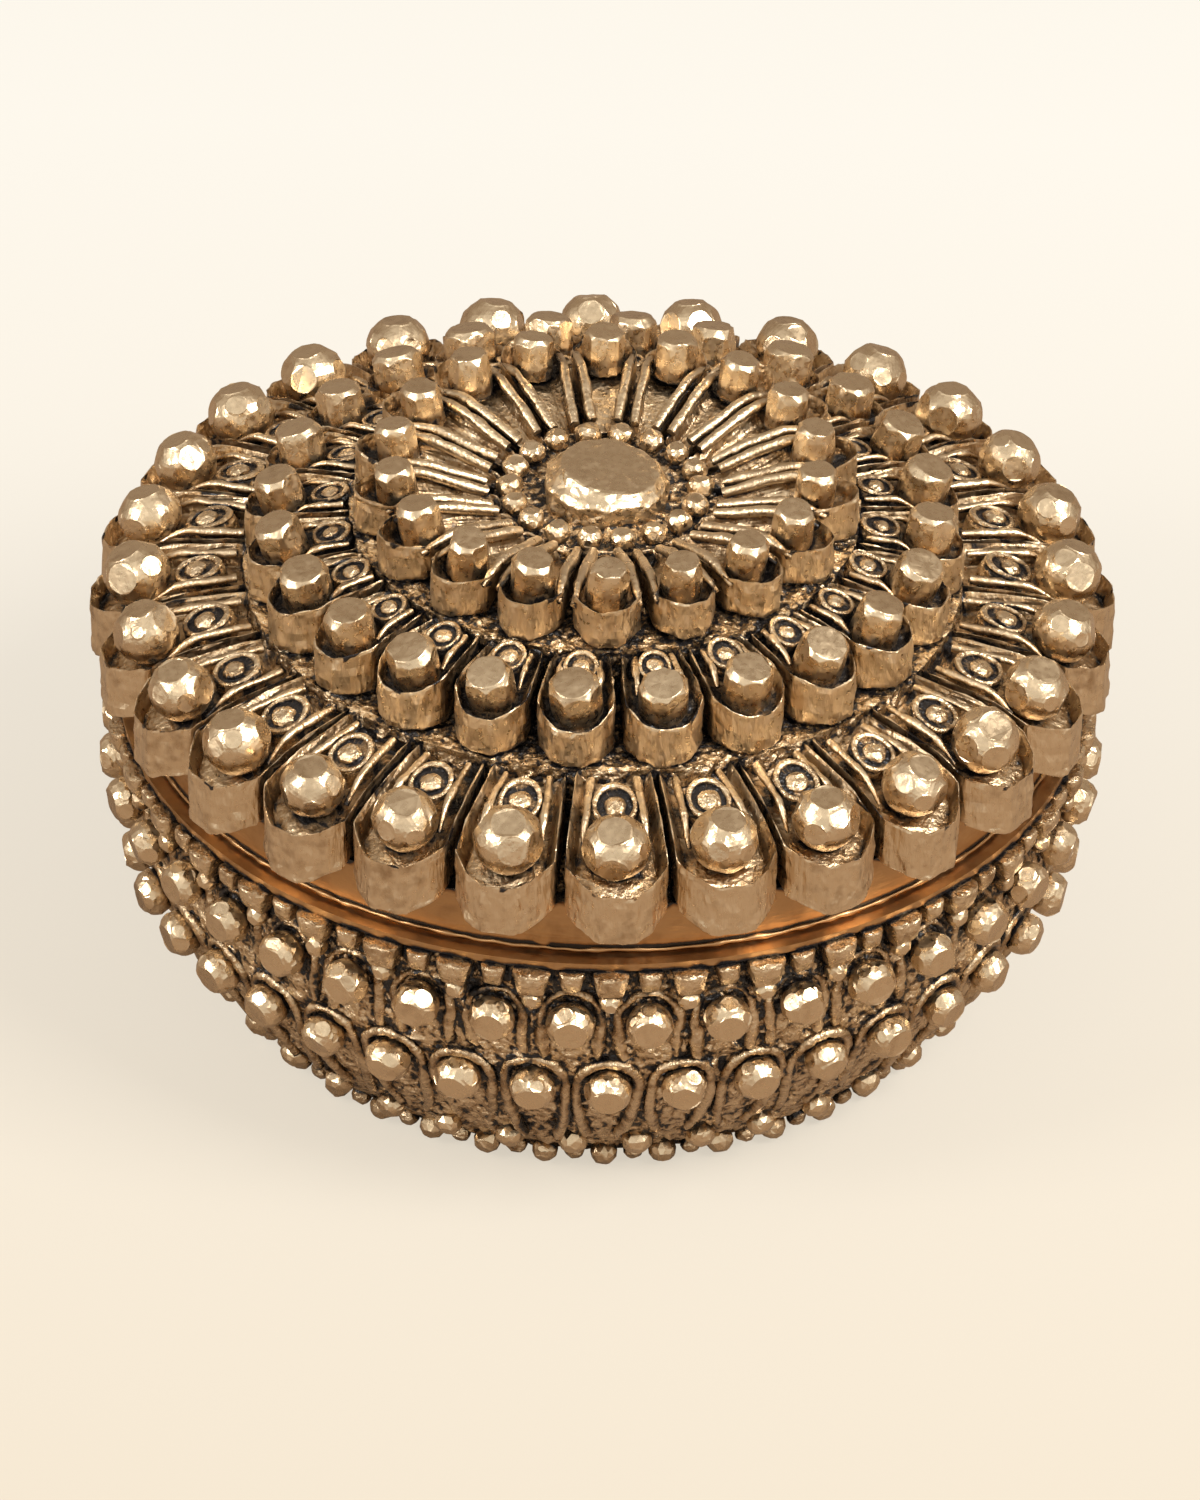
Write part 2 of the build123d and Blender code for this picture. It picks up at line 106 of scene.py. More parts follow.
def block(name: str, low: Point, high: Point) -> bpy.types.Object:
    """Starts a piece from a block between two corners.

    Args:
        name: The piece's name.
        low: The block's lowest corner, in metres.
        high: The block's highest corner, in metres.

    Returns:
        The new piece.
    """
    bpy.ops.object.select_all(action="DESELECT")
    centre = (Vector(low) + Vector(high)) / 2
    bpy.ops.mesh.primitive_cube_add(size=1.0, location=centre, scale=Vector(high) - Vector(low))
    bpy.ops.object.transform_apply(location=True, rotation=True, scale=True)
    piece = bpy.context.object
    piece.name = name
    return piece


def file_off(point: Point, normal: Point) -> None:
    """Cuts away, in edit mode, what lies in front of a plane, and closes the cut.

    Args:
        point: A point of the plane.
        normal: The plane's direction, of any length, towards what goes.
    """
    out = Vector(normal).normalized()
    bpy.ops.mesh.select_all(action="SELECT")
    bpy.ops.mesh.bisect(
        plane_co=point, plane_no=out, use_fill=True, clear_outer=True, threshold=CUT_TOLERANCE
    )


def score(point: Point, normal: Point) -> None:
    """Scores a line of edges round the piece in edit mode, where a plane meets it.

    Args:
        point: A point of the plane.
        normal: The plane's direction, of any length.
    """
    out = Vector(normal).normalized()
    bpy.ops.mesh.select_all(action="SELECT")
    bpy.ops.mesh.bisect(plane_co=point, plane_no=out, threshold=CUT_TOLERANCE)


def finish_with(piece: bpy.types.Object, kind: str, **settings: object) -> None:
    """Adds one modifier to a piece and applies it.

    Args:
        piece: The piece to change.
        kind: The modifier's type.
        **settings: The modifier's settings by name.
    """
    bpy.ops.object.select_all(action="DESELECT")
    piece.select_set(True)
    bpy.context.view_layer.objects.active = piece
    modifier = piece.modifiers.new(kind.lower(), kind)
    for name, value in settings.items():
        setattr(modifier, name, value)
    bpy.ops.object.modifier_apply(modifier=modifier.name)


def round_off(piece: bpy.types.Object, width: float, levels: int = 1) -> None:
    """Rounds every edge of a piece and subdivides what is between them.

    Args:
        piece: The piece to round.
        width: Width of the rounding, in metres.
        levels: How often the surface is subdivided.
    """
    finish_with(piece, "BEVEL", width=width, segments=1, limit_method="ANGLE", angle_limit=0.4)
    finish_with(piece, "SUBSURF", levels=levels, render_levels=levels)


def roughen(piece: bpy.types.Object, depth: float, grain: float, group: str = "") -> None:
    """Makes a piece's surface uneven, as hammer, file and years leave it.

    Args:
        piece: The piece to roughen.
        depth: How far the surface moves, in metres.
        grain: Size of the unevenness, in metres.
        group: Vertex group that it is held to, if any.
    """
    texture = bpy.data.textures.new(f"{piece.name}_unevenness", "CLOUDS")
    texture.noise_scale = grain
    texture.noise_depth = 2
    finish_with(
        piece,
        "DISPLACE",
        texture=texture,
        texture_coords="LOCAL",
        strength=depth,
        mid_level=0.5,
        vertex_group=group,
    )


def join(name: str, pieces: Sequence[bpy.types.Object]) -> bpy.types.Object:
    """Joins several objects into one piece.

    Args:
        name: The piece's name.
        pieces: The objects, of which the first takes in the rest.

    Returns:
        The joined piece.
    """
    bpy.ops.object.select_all(action="DESELECT")
    for piece in pieces:
        piece.select_set(True)
    bpy.context.view_layer.objects.active = pieces[0]
    if len(pieces) > 1:
        bpy.ops.object.join()
    pieces[0].name = name
    pieces[0].data.name = name
    return pieces[0]


def wire(name: str, points: Sequence[Point], thickness: Sequence[float], sides: int = 2) -> bpy.types.Object:
    """Lays a rounded, tapering wire along a smooth line.

    Args:
        name: The piece's name.
        points: The line's control points, in metres.
        thickness: The wire's radius at each point, in metres.
        sides: Rounding steps of its section.

    Returns:
        The wire as a mesh.
    """
    data = bpy.data.curves.new(name, "CURVE")
    data.dimensions = "3D"
    data.bevel_depth = 1.0
    data.bevel_resolution = sides - 1
    data.use_fill_caps = True
    data.resolution_u = 3
    line = data.splines.new("NURBS")
    line.points.add(len(points) - 1)
    for control, place, radius in zip(line.points, points, thickness):
        control.co = (*place, 1.0)
        control.radius = radius
    line.order_u = 3
    line.use_endpoint_u = True
    lead = bpy.data.objects.new(name, data)
    bpy.context.scene.collection.objects.link(lead)
    bpy.ops.object.select_all(action="DESELECT")
    lead.select_set(True)
    bpy.context.view_layer.objects.active = lead
    bpy.ops.object.convert(target="MESH")
    return bpy.context.object


def turned(name: str, profile: Sequence[tuple[float, float]], steps: int) -> bpy.types.Object:
    """Turns a closed profile round the axis, as on a lathe.

    Args:
        name: The piece's name.
        profile: Radius and height of each corner, in metres, going round once.
        steps: Segments round the axis.

    Returns:
        The turned ring or bowl.
    """
    mesh = bpy.data.meshes.new(name)
    count = len(profile)
    pairs = [(index, (index + 1) % count) for index in range(count)]
    off_axis = [(first, last) for first, last in pairs if profile[first][0] + profile[last][0] > 0]
    mesh.from_pydata([(radius, 0.0, height) for radius, height in profile], off_axis, [])
    piece = bpy.data.objects.new(f"{name}_worn", mesh)
    bpy.context.scene.collection.objects.link(piece)
    with editing(piece):
        bpy.ops.mesh.select_mode(type="EDGE")
        bpy.ops.mesh.select_all(action="SELECT")
        bpy.ops.mesh.spin(steps=steps, angle=2 * math.pi, center=(0, 0, 0), axis=(0, 0, 1))
        bpy.ops.mesh.select_all(action="SELECT")
        bpy.ops.mesh.remove_doubles(threshold=WELD_DISTANCE)
        bpy.ops.mesh.normals_make_consistent(inside=False)
    return piece


WIDEST = 28.0 * MM
BOWL_RADIUS = 47.2 * MM
WALL_CURVE = 36.6538 * MM


def bowl_wall(height: float) -> float:
    """Radius of the bowl's outer wall at a height."""
    return BOWL_RADIUS - WALL_CURVE + math.sqrt(WALL_CURVE**2 - (height - WIDEST) ** 2)


def wall_point(sideways: float, height: float, out: float = 0.45 * MM) -> Point:
    """Finds a point a little in front of the bowl's wall.

    Args:
        sideways: Its distance along the wall from the +X line.
        height: Its height.
        out: How far in front of the wall it is.

    Returns:
        The point.
    """
    radius = bowl_wall(height) + out
    angle = sideways / radius
    return (radius * math.cos(angle), radius * math.sin(angle), height)


def wall_lean(height: float) -> float:
    """Tilt, in degrees from straight up, of what stands out of the wall at a height."""
    return 90.0 + math.degrees(math.asin((WIDEST - height) / WALL_CURVE))


@dataclass(frozen=True)
class Worn:
    """A finished piece, with the variant and the number of vertices of each copy in it."""

    node: str
    shape: bpy.types.Object
    copies: tuple[tuple[int, int], ...]


@dataclass(frozen=True)
class Seat:
    """Where an ornament stands on the +X line: distance from the axis, height, and tilt in degrees."""

    place: float
    height: float
    tilt: float

    @classmethod
    def on_wall(cls, height: float, out: float, level: float) -> "Seat":
        """Seats an ornament on the bowl's wall.

        Args:
            height: Height of its middle.
            out: How far in front of the wall its middle is.
            level: Height at which the wall leans as the ornament does.

        Returns:
            The seat.
        """
        return cls(bowl_wall(height) + out, height, wall_lean(level))

    def axes(self) -> Matrix:
        """The ornament's own axes."""
        turn = Matrix.Rotation(math.radians(self.tilt), 4, "Y")
        return Matrix.Translation((self.place, 0.0, self.height)) @ turn


@dataclass(frozen=True)
class Ring:
    """How many copies of an ornament stand round the box's axis, and the first one's angle in degrees."""

    count: int
    phase: float

    def set_round(
        self,
        node: str,
        masters: Sequence[bpy.types.Object],
        seed: int,
        seat: Matrix,
        sway: float,
        swell: float,
        spin: float = 0.0,
    ) -> Worn:
        """Copies the masters round the axis, each copy a little different.

        Args:
            node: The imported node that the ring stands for.
            masters: The ornament's variants, pointing along +X.
            seed: Seed of the copies' differences.
            seat: The ornament's own axes, about which a copy spins and swells.
            sway: Largest turn of a copy out of its place, in degrees.
            swell: Largest change of a copy's size, as a share.
            spin: Largest turn of a copy about its own axis, in radians.

        Returns:
            The joined ring.
        """
        chance = random.Random(seed)
        placed = []
        copies = []
        for index in range(self.count):
            master = masters[index % len(masters)]
            copy = master.copy()
            copy.data = master.data.copy()
            bpy.context.scene.collection.objects.link(copy)
            wobble = Matrix.Rotation(chance.uniform(-spin, spin), 4, "Z")
            wobble @= Matrix.Rotation(math.radians(chance.uniform(-sway, sway)), 4, "X")
            wobble @= Matrix.Rotation(math.radians(chance.uniform(-sway, sway)), 4, "Y")
            wobble @= Matrix.Scale(1 + chance.uniform(-swell, swell), 4)
            angle = math.radians(self.phase + 360.0 * index / self.count)
            turn = Matrix.Rotation(angle, 4, "Z")
            copy.data.transform(turn @ seat @ wobble @ seat.inverted())
            placed.append(copy)
            copies.append((index % len(masters), len(copy.data.vertices)))
        for master in masters:
            bpy.data.objects.remove(master)
        return Worn(node, join(f"{node}_worn", placed), tuple(copies))


class ShadeAndGrime:
    """Finds how open to the air each point is, so that the colour can follow it: dark in hollows as painted
    shade and as blackened patina, bright where open as rubbed metal.
    """

    reach = 2.8 * MM
    lift = 0.06 * MM
    rays = 20

    def __init__(self, pieces: Sequence[bpy.types.Object]) -> None:
        """Joins copies of one body's pieces into the shape that the rays can hit.

        Args:
            pieces: The body's pieces.
        """
        copies = []
        for piece in pieces:
            copy = piece.copy()
            copy.data = piece.data.copy()
            bpy.context.scene.collection.objects.link(copy)
            copies.append(copy)
        whole = join("shade_and_grime_probe", copies)
        bpy.context.view_layer.update()
        self.tree = BVHTree.FromObject(whole, bpy.context.evaluated_depsgraph_get())
        bpy.data.objects.remove(whole)
        golden = math.pi * (3 - math.sqrt(5))
        self.fan = []
        for step in range(self.rays):
            up = (step + 0.5) / self.rays
            level = math.sqrt(1 - up * up)
            self.fan.append(Vector((level * math.cos(golden * step), level * math.sin(golden * step), up)))

    def openness(self, place: Vector, normal: Vector) -> float:
        """Measures how much of the air around a point nothing near it blocks.

        Args:
            place: The point.
            normal: The surface's direction there.

        Returns:
            The open share, from 0 to 1.
        """
        turn = normal.to_track_quat("Z", "Y").to_matrix()
        start = place + normal * self.lift
        blocked = 0.0
        for direction in self.fan:
            _, _, _, distance = self.tree.ray_cast(start, turn @ direction, self.reach)
            if distance is not None:
                blocked += 1 - distance / self.reach
        return 1 - blocked / self.rays

    def mark(self, piece: Worn, tones: random.Random) -> None:
        """Writes the attributes "open" and "tone" on a piece.

        Args:
            piece: The piece to mark.
            tones: Source of each copy's own tone.
        """
        mesh = piece.shape.data
        known: dict[int, list[float]] = {}
        values: list[float] = []
        tone: list[float] = []
        start = 0
        for variant, size in piece.copies:
            if variant not in known:
                part = mesh.vertices[start : start + size]
                known[variant] = [self.openness(vertex.co, vertex.normal) for vertex in part]
            values += known[variant]
            tone += [tones.random()] * size
            start += size
        for name, numbers in (("open", values), ("tone", tone)):
            attribute = mesh.attributes.new(name, "FLOAT", "POINT")
            attribute.data.foreach_set("value", numbers)


class Rub(Enum):
    """How far a finish was rubbed back to bright metal."""

    POLISHED = "polished"
    CAST = "cast"
    FILED = "filed"
    TURNED = "turned"
    PATINA = "patina"


@dataclass(frozen=True)
class AgedAndShadedBrass:
    """Brass whose colour follows how open each point is: dark in hollows and bright where open, partly as a
    blackened and rubbed finish and partly as painted shade.
    """

    rub: Rub
    bright: Colour = (0.72, 0.56, 0.365)
    warm: Colour = (0.36, 0.235, 0.125)
    dark: Colour = (0.012, 0.01, 0.01)
    dark_until: float = 0.3
    bright_from: float = 0.75
    mottle: float = 0.3
    roughness: float = 0.3
    grain: float = 1900.0
    bump: float = 0.35
    streak: tuple[float, float, float] = (1.0, 1.0, 1.0)
    patch: float = 700.0
    relief: float = 0.2 * MM

    def build(self) -> bpy.types.Material:
        """Builds the material's nodes.

        Returns:
            The finished material.
        """
        material = bpy.data.materials.new(f"{self.rub.value}_brass")
        material.use_nodes = True
        tree = material.node_tree
        nodes = tree.nodes
        links = tree.links
        shader = nodes["Principled BSDF"]
        place = nodes.new("ShaderNodeTexCoord").outputs["Object"]

        def noise(scale: float, detail: float) -> bpy.types.NodeSocket:
            """A noise of one scale all over the piece."""
            texture = nodes.new("ShaderNodeTexNoise")
            texture.inputs["Scale"].default_value = scale
            texture.inputs["Detail"].default_value = detail
            links.new(place, texture.inputs["Vector"])
            return texture.outputs["Fac"]

        def spread(
            value: bpy.types.NodeSocket, low: float, high: float, start: float, end: float
        ) -> bpy.types.NodeSocket:
            """A value stretched from the range low to high over the range start to end."""
            reach = nodes.new("ShaderNodeMapRange")
            numbers = {"From Min": low, "From Max": high, "To Min": start, "To Max": end}
            for socket, number in numbers.items():
                reach.inputs[socket].default_value = number
            links.new(value, reach.inputs["Value"])
            return reach.outputs["Result"]

        def total(first: bpy.types.NodeSocket, second: bpy.types.NodeSocket) -> bpy.types.NodeSocket:
            """The sum of two values."""
            adder = nodes.new("ShaderNodeMath")
            links.new(first, adder.inputs[0])
            links.new(second, adder.inputs[1])
            return adder.outputs["Value"]

        openness = nodes.new("ShaderNodeAttribute")
        openness.attribute_name = "open"
        tone = nodes.new("ShaderNodeAttribute")
        tone.attribute_name = "tone"
        # Painted shade: the open share darkens hollows and brightens open parts. It stands for the light
        # that reaches each point as well as for the blackened and rubbed finish.
        rub_and_shade = spread(openness.outputs["Fac"], self.dark_until, self.bright_from, 0.0, 1.0)
        patches = spread(noise(self.patch, 4.0), 0.3, 0.7, -self.mottle, self.mottle)
        clouds = spread(noise(160.0, 2.0), 0.3, 0.7, -0.14, 0.14)
        own = spread(tone.outputs["Fac"], 0.0, 1.0, -0.08, 0.08)
        # worn holds the painted shade of the open share together with the finish's own mottling and each
        # copy's tone.
        worn = total(total(rub_and_shade, patches), total(clouds, own))

        colours = nodes.new("ShaderNodeValToRGB")
        ramp = colours.color_ramp
        ramp.elements[0].position = 0.12
        ramp.elements[0].color = rgba(self.dark)
        ramp.elements[1].position = 0.95
        ramp.elements[1].color = rgba(self.bright)
        ramp.elements.new(0.42).color = rgba(self.warm)
        links.new(worn, colours.inputs["Fac"])
        links.new(colours.outputs["Color"], shader.inputs["Base Color"])

        links.new(spread(worn, 0.1, 0.45, 0.25, 1.0), shader.inputs["Metallic"])
        fleck = spread(noise(1500.0, 3.0), 0.3, 0.7, -0.1, 0.1)
        base = spread(worn, 0.0, 0.6, 0.24, self.roughness)
        links.new(total(base, fleck), shader.inputs["Roughness"])

        drawn = nodes.new("ShaderNodeMapping")
        drawn.inputs["Scale"].default_value = self.streak
        links.new(place, drawn.inputs["Vector"])
        scratches = noise(self.grain, 4.0)
        links.new(drawn.outputs["Vector"], scratches.node.inputs["Vector"])
        relief = nodes.new("ShaderNodeBump")
        relief.inputs["Strength"].default_value = self.bump
        relief.inputs["Distance"].default_value = self.relief
        links.new(scratches, relief.inputs["Height"])
        links.new(relief.outputs["Normal"], shader.inputs["Normal"])
        return material


@dataclass
class Petals:
    """One tier of petals: each has a filed toe, a raised rim and a trough, dark from painted shade and
    patina in the hollow.

    A petal runs from root to tip, and stands on seat. Its rim rises over the seat by rim_root,
    rim_bow half way along, and rim_tip. The rim is rib wide and the trough inside it trough deep.
    The toe narrows over toe_depth, with its corners toe_reach short of the tip. The lip hangs
    lip_drop below the seat beyond lip_start. Where rib_end is set, a thin wire runs inside each
    side of the rim, as far as there.
    """

    node: str
    ring: Ring
    root: float
    tip: float
    seat: float
    rim_root: float
    rim_bow: float
    rim_tip: float
    trough: float
    rib: float
    toe_reach: float
    toe_corner: float
    groove: float = 0.75 * MM
    toe_depth: float = 3.4 * MM
    lip_drop: float = 0.0
    lip_start: float = 0.0
    rib_end: float = 0.0
    rib_inset: float = 1.55 * MM
    rib_drop: float = 0.45 * MM
    rib_size: float = 0.42 * MM
    seed: int = 1

    def half(self, radius: float) -> float:
        """Half the width of a petal at a radius."""
        return radius * math.tan(math.pi / self.ring.count) - self.groove / 2

    def carve(self, variant: int) -> bpy.types.Object:
        """Carves one petal out of a block.

        Args:
            variant: Number of the petal's variant, which shifts its cuts a little.

        Returns:
            The petal, pointing along +X.
        """
        chance = random.Random(self.seed * 10 + variant)
        wide = self.half(self.tip)
        high = self.seat + max(self.rim_root, self.rim_bow) + 1 * MM
        back = self.root - self.rib - 0.1 * MM
        petal = block(self.node, (back, -wide, self.seat), (self.tip, wide, high))
        with editing(petal):
            slant = math.pi / self.ring.count
            for side in (1, -1):
                normal = (-math.sin(slant), side * math.cos(slant), 0.0)
                file_off((self.root, side * self.half(self.root), 0.0), normal)
            middle = (self.root + self.tip) / 2
            self.slope(self.root, self.rim_root, middle, self.rim_bow)
            self.slope(middle, self.rim_bow, self.tip, self.rim_tip)
            neck = self.tip - self.toe_depth
            for side in (1, -1):
                shift = chance.uniform(-0.15, 0.15) * MM
                aside = side * self.half(neck)
                inward = self.tip - self.toe_reach + shift
                corner = Vector((inward, side * self.toe_corner * self.half(neck), 0.0))
                outer = Vector((neck, aside, 0.0))
                front = Vector((self.tip + 0.1 * MM, side * 0.3 * self.half(neck), 0.0))
                for start, end in ((outer, corner), (corner, front)):
                    along = end - start
                    out = Vector((-along.y, along.x, 0.0)) * side
                    file_off(start, out)
            if self.lip_drop:
                score((self.lip_start, 0.0, 0.0), (1.0, 0.0, 0.0))
                pick(petal, lambda centre, normal: normal.z < -0.5 and centre.x > self.lip_start)
                bpy.ops.mesh.extrude_region_move(TRANSFORM_OT_translate={"value": (0, 0, -self.lip_drop)})
                for side in (1, -1):
                    start = (self.tip, side * 0.4 * wide, self.seat - self.lip_drop)
                    file_off(start, (0.0, side * self.lip_drop, -0.55 * wide))
            pick(petal, lambda centre, normal: normal.z > 0.5)
            bpy.ops.mesh.inset(thickness=self.rib, use_even_offset=True)
            bpy.ops.transform.translate(value=(0.0, 0.0, -self.trough))
        return petal

    def slope(self, start: float, start_rise: float, end: float, end_rise: float) -> None:
        """Files the rim's top along a line.

        Args:
            start: Radius at which the line starts.
            start_rise: Height of its start over the seat.
            end: Radius at which it ends.
            end_rise: Height of its end over the seat.
        """
        run = end - start
        drop = start_rise - end_rise
        file_off((start, 0.0, self.seat + start_rise), (drop, 0.0, run))

    def lay_ribs(self, variant: int) -> list[bpy.types.Object]:
        """Lays the thin ribs that run inside the rim, one each side of the eyelet.

        Args:
            variant: Number of the petal's variant, which bends its ribs a little.

        Returns:
            The ribs, or none where rib_end isn't set.
        """
        if not self.rib_end:
            return []
        chance = random.Random(self.seed * 20 + variant)
        ribs = []
        for side in (1, -1):
            points = []
            for step in range(5):
                along = self.root + 0.4 * MM + (self.rib_end - self.root) * step / 4
                aside = self.half(along) - self.rib_inset
                lift = self.rim_height(along) - self.rib_drop - (self.trough / 2) * (step == 4)
                shift = chance.uniform(-0.12, 0.12) * MM
                points.append((along, side * (aside + shift), self.seat + lift))
            share = (0.9, 1.1, 1.0, 0.9, 0.55)
            ribs.append(wire(self.node, points, [self.rib_size * part for part in share]))
        return ribs

    def rim_height(self, radius: float) -> float:
        """Finds how high the rim stands over the seat.

        Args:
            radius: Distance from the box's axis.

        Returns:
            The height.
        """
        middle = (self.root + self.tip) / 2
        if radius < middle:
            share = (radius - self.root) / (middle - self.root)
            return self.rim_root + (self.rim_bow - self.rim_root) * share
        share = (radius - middle) / (self.tip - middle)
        return self.rim_bow + (self.rim_tip - self.rim_bow) * share

    def build(self) -> Worn:
        """Builds the whole tier.

        Returns:
            The worn tier.
        """
        masters = []
        for variant in range(4):
            petal = self.carve(variant)
            round_off(petal, 0.3 * MM, 2)
            masters.append(join(self.node, [petal] + self.lay_ribs(variant)))
        middle = Matrix.Translation(((self.root + self.tip) / 2, 0.0, self.seat))
        tier = self.ring.set_round(self.node, masters, self.seed, middle, sway=1.3, swell=0.025)
        roughen(tier.shape, depth=0.5 * MM, grain=1.5 * MM)
        return tier


@dataclass
class Nuggets:
    """A ring of cast balls or posts, hammered, and bright on top partly as rubbed metal and partly as
    painted light, since their colour follows how open each point is.

    A nugget's height is tall times its width. A ball's top is filed flat at crown times its radius,
    and a post is narrowed above its side and filed flat there, so crown doesn't touch it.
    """

    node: str
    ring: Ring
    seat: Seat
    radius: float
    tall: float = 1.0
    flats: int = 7
    crown: float = 0.86
    fineness: int = 3
    post: bool = False
    edge: float = 0.16 * MM
    hammered: float = 0.16 * MM
    seed: int = 1

    def cast(self, variant: int) -> bpy.types.Object:
        """Casts one variant, centred on the origin with its top along +Z.

        Args:
            variant: Number of the variant, which turns and leans its flats.

        Returns:
            The nugget.
        """
        chance = random.Random(self.seed * 10 + variant)
        bpy.ops.object.select_all(action="DESELECT")
        if self.post:
            high = 2 * self.radius * self.tall
            bpy.ops.mesh.primitive_cylinder_add(vertices=14, radius=self.radius, depth=high)
        else:
            bpy.ops.mesh.primitive_ico_sphere_add(subdivisions=self.fineness, radius=self.radius)
        ball = bpy.context.object
        ball.name = self.node
        if self.post:
            with editing(ball):
                pick(ball, lambda centre, normal: normal.z > 0.9)
                step = (0, 0, 0.32 * self.radius)
                bpy.ops.mesh.extrude_region_move(TRANSFORM_OT_translate={"value": step})
                bpy.ops.transform.resize(value=(0.74, 0.74, 1.0))
                self.file_flats(chance)
            round_off(ball, self.edge, 2)
        else:
            with editing(ball):
                self.file_flats(chance)
                bpy.ops.mesh.select_all(action="SELECT")
                bpy.ops.mesh.vertices_smooth(factor=0.5, repeat=3 ** self.fineness // 5)
                bpy.ops.transform.resize(value=(1.0, 1.0, self.tall))
        return ball

    def file_flats(self, chance: random.Random) -> None:
        """Files flats round the side and one on top, in edit mode.

        Args:
            chance: Source of the flats' differences.
        """
        for turn in range(self.flats):
            angle = 2 * math.pi * (turn + chance.uniform(-0.3, 0.3)) / self.flats
            rise = chance.uniform(0.0, 0.22) if self.post else chance.uniform(0.05, 0.75)
            level = math.sqrt(1 - rise**2)
            out = Vector((level * math.cos(angle), level * math.sin(angle), rise))
            reach = self.radius * chance.uniform(0.93, 0.99)
            file_off(out * reach, out)
        lean = Vector((chance.uniform(-0.12, 0.12), chance.uniform(-0.12, 0.12), 1.0)).normalized()
        top = self.radius * (self.tall + 0.28 if self.post else self.crown)
        file_off(lean * top, lean)

    def build(self) -> Worn:
        """Builds the whole ring.

        Returns:
            The worn ring.
        """
        seat = self.seat.axes()
        masters = [self.cast(variant) for variant in range(5)]
        for master in masters:
            master.data.transform(seat)
        row = self.ring.set_round(self.node, masters, self.seed, seat, sway=5.0, swell=0.04, spin=math.pi)
        roughen(row.shape, depth=self.hammered, grain=1.3 * MM)
        return row


@dataclass
class Eyelets:
    """A ring of drop-shaped eyelets, each a raised collar on a low platform."""

    node: str
    ring: Ring
    seat: Seat
    radius: float
    bore: float
    seed: int = 1

    def build(self) -> Worn:
        """Builds the whole ring.

        Returns:
            The worn ring.
        """
        seat = self.seat.axes()
        bpy.ops.object.select_all(action="DESELECT")
        bpy.ops.mesh.primitive_torus_add(
            major_radius=(self.radius + self.bore) / 2,
            minor_radius=(self.radius - self.bore) / 2,
            major_segments=28,
            minor_segments=8,
            location=(0.0, 0.0, 0.95 * MM),
        )
        bpy.ops.object.transform_apply(location=True)
        collar = bpy.context.object
        wide = self.radius + 0.15 * MM
        bpy.ops.mesh.primitive_cylinder_add(vertices=20, radius=wide, depth=2.6 * MM)
        platform = bpy.context.object
        platform.data.transform(Matrix.Translation((0.0, 0.0, -0.35 * MM)))
        round_off(platform, 0.3 * MM)
        eyelet = join(self.node, [collar, platform])
        for vertex in eyelet.data.vertices:
            vertex.co.x *= 1.3 if vertex.co.x < 0 else 1.0
        eyelet.data.transform(seat)
        row = self.ring.set_round(self.node, [eyelet], self.seed, seat, sway=3.0, swell=0.04)
        roughen(row.shape, depth=0.12 * MM, grain=1.0 * MM)
        return row


@dataclass
class Arches:
    """A ring of wires bent over the bowl's studs, whose legs draw together below.

    An arch bends at radius over the point at height. Its legs end at bottom, spread from the middle.
    The wire is thickness over the bend and leg below it, and its middle stands off the wall by stand.
    """

    node: str
    ring: Ring
    height: float
    radius: float
    spread: float
    bottom: float
    thickness: float
    leg: float
    stand: float = 0.35 * MM
    seed: int = 1

    def bend(self, variant: int) -> bpy.types.Object:
        """Bends one arch, with legs heavier than its top.

        Args:
            variant: Number of the variant, which shifts the wire a little.

        Returns:
            The arch, over the +X line.
        """
        chance = random.Random(self.seed * 10 + variant)
        points: list[Point] = []
        thickness: list[float] = []
        for side in (1, -1):
            leg: list[Point] = []
            weights: list[float] = []
            for step in range(5):
                part = step / 4
                down = self.bottom + (self.height - self.bottom) * part
                wide = self.spread + (self.radius - self.spread) * math.sin(part * math.pi / 2)
                shift = chance.uniform(-0.2, 0.2) * MM
                leg.append(wall_point(side * (wide + shift), down, self.stand))
                belly = 0.75 + 0.45 * math.sin(math.pi * (0.15 + 0.7 * part))
                weights.append(self.leg * belly * chance.uniform(0.9, 1.1))
            if side > 0:
                points += leg
                thickness += weights
                for step in range(1, 6):
                    angle = math.pi * step / 6
                    shift = chance.uniform(-0.12, 0.12) * MM
                    over = self.height + self.radius * math.sin(angle) + shift
                    points.append(wall_point(self.radius * math.cos(angle), over, self.stand))
                    thickness.append(self.thickness * chance.uniform(0.85, 1.15))
            else:
                points += leg[::-1]
                thickness += weights[::-1]
        return wire(self.node, points, thickness)

    def build(self) -> Worn:
        """Builds the whole ring.

        Returns:
            The worn ring.
        """
        seat = Matrix.Translation(wall_point(0.0, self.height))
        masters = [self.bend(variant) for variant in range(5)]
        row = self.ring.set_round(self.node, masters, self.seed, seat, sway=2.5, swell=0.04)
        roughen(row.shape, depth=0.7 * MM, grain=1.0 * MM)
        return row


